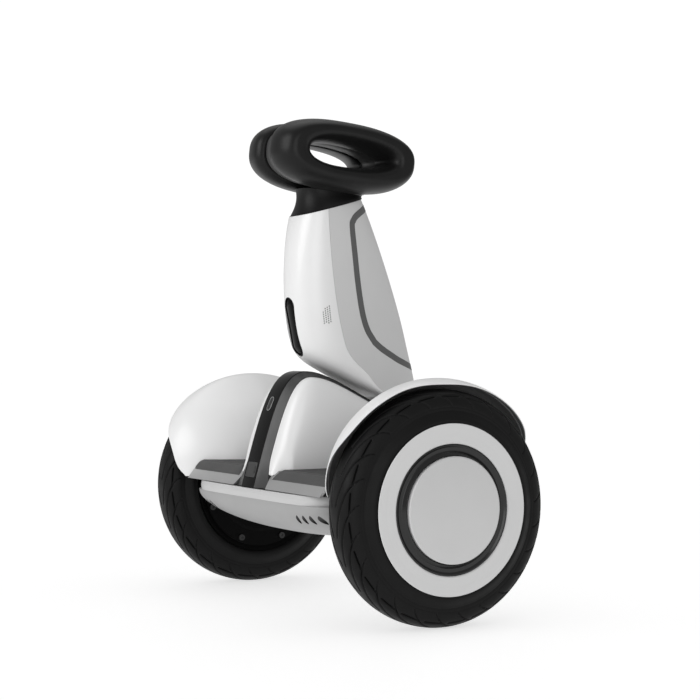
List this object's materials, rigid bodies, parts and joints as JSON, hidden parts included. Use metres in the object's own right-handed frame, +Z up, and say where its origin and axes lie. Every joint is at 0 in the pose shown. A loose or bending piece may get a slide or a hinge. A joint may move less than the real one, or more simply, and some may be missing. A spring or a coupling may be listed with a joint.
{
  "type": "self balancing transporter",
  "caption": "Two-wheeled self-balancing transporter with hub motors, rubber foot mats, an arched spine and a leaning knee bar with soft looped pads.",
  "frame": {"origin": "on the floor under the middle of the wheel axle", "axes": "+X along the wheel axle to the rider's right, +Y forward, +Z up"},
  "size_m": [0.548, 0.27, 0.5969],
  "materials": {
    "cast_frame": "cast, satin",
    "hull_plastic": "fine satin",
    "silver_trim": "metallic satin",
    "battery_wrap": "shrink film",
    "screw_steel": "plain",
    "circuit_board": "solder resist",
    "dark_plastic": "satin",
    "mat_rubber": "ribbed, matte",
    "white_gloss": "semi-gloss",
    "liner_plastic": "matte",
    "black_gloss": "piano gloss",
    "shaft_steel": "ground",
    "motor_copper": "enamelled windings and laminations",
    "bearing_steel": "polished",
    "spring_steel": "drawn wire",
    "grey_white": "semi-gloss",
    "trim_grey": "satin",
    "lamp_glass": "smoked lens",
    "black_satin": "satin",
    "core_plastic": "satin",
    "pad_foam": "soft skinned foam",
    "tyre_rubber": "grooved tread",
    "rim_black": "satin black",
    "magnet": "nickel plate",
    "groove_metal": "turned",
    "cap_silver": "satin pearl"
  },
  "bodies": {
    "base": {"chassis_frame": "cast_frame", "lower_hull": "hull_plastic", "bumper_rim": "hull_plastic", "deck_cover": "silver_trim", "battery_pack": "battery_wrap", "battery_cover_screws": "screw_steel", "control_board": "circuit_board", "foot_switches": "dark_plastic", "foot_mat_left": "mat_rubber", "foot_mat_right": "mat_rubber", "fender_left": "white_gloss", "fender_right": "white_gloss", "fender_liner_left": "liner_plastic", "fender_liner_right": "liner_plastic", "arch_panel_left": "white_gloss", "arch_panel_right": "white_gloss", "spine_bevel": "silver_trim", "spine_band": "black_gloss", "charge_socket": "dark_plastic", "axle_left": "shaft_steel", "axle_right": "shaft_steel", "stator_left": "motor_copper", "stator_right": "motor_copper", "pivot_bearings": "bearing_steel", "centring_spring": "spring_steel"},
    "wheel_left": {"tyre_left": "tyre_rubber", "wheel_rim_left": "rim_black", "magnet_ring_left": "magnet", "motor_cover_left": "rim_black", "motor_screws_left": "screw_steel", "wheel_bearings_left": "bearing_steel", "hub_ring_left": "white_gloss", "hub_groove_left": "groove_metal", "hub_cap_left": "cap_silver", "tyre_valve_left": "mat_rubber"},
    "wheel_right": {"tyre_right": "tyre_rubber", "wheel_rim_right": "rim_black", "magnet_ring_right": "magnet", "motor_cover_right": "rim_black", "motor_screws_right": "screw_steel", "wheel_bearings_right": "bearing_steel", "hub_ring_right": "white_gloss", "hub_groove_right": "groove_metal", "hub_cap_right": "cap_silver", "tyre_valve_right": "mat_rubber"},
    "steering_bar": {"pivot_shaft": "shaft_steel", "pivot_collar": "screw_steel", "bar_core": "cast_frame", "bar_rear_cover": "white_gloss", "bar_front_cover": "grey_white", "bar_trim": "trim_grey", "lamp_lens": "lamp_glass", "lamp_board": "circuit_board", "speaker": "dark_plastic", "neck_cover": "black_satin", "head_core": "core_plastic", "knee_pad_left": "pad_foam", "knee_pad_right": "pad_foam"},
    "power_button": {"power_button": "dark_plastic"},
    "charge_cover": {"charge_cover": "mat_rubber"}
  },
  "joints": [
    {"name": "left_wheel_spin", "type": "hinge", "parent": "base", "child": "wheel_left", "pos_m": [-0.235, 0, 0.135], "axis": [1, 0, 0], "continuous": true},
    {"name": "right_wheel_spin", "type": "hinge", "parent": "base", "child": "wheel_right", "pos_m": [0.235, 0, 0.135], "axis": [1, 0, 0], "continuous": true},
    {"name": "steering_lean", "type": "hinge", "parent": "base", "child": "steering_bar", "pos_m": [0, 0.04, 0.186], "axis": [0, 1, 0], "range_deg": [-12, 12], "stiffness_Nm_per_rad": 60},
    {"name": "power_button_press", "type": "slide", "parent": "base", "child": "power_button", "axis": [0, 0.9172, -0.3983], "range_m": [0, 0.0015], "stiffness_N_per_m": 400},
    {"name": "charge_cover_flap", "type": "hinge", "parent": "base", "child": "charge_cover", "pos_m": [0, -0.11925, 0.1607], "axis": [1, 0, 0], "range_deg": [0, 100]}
  ]
}
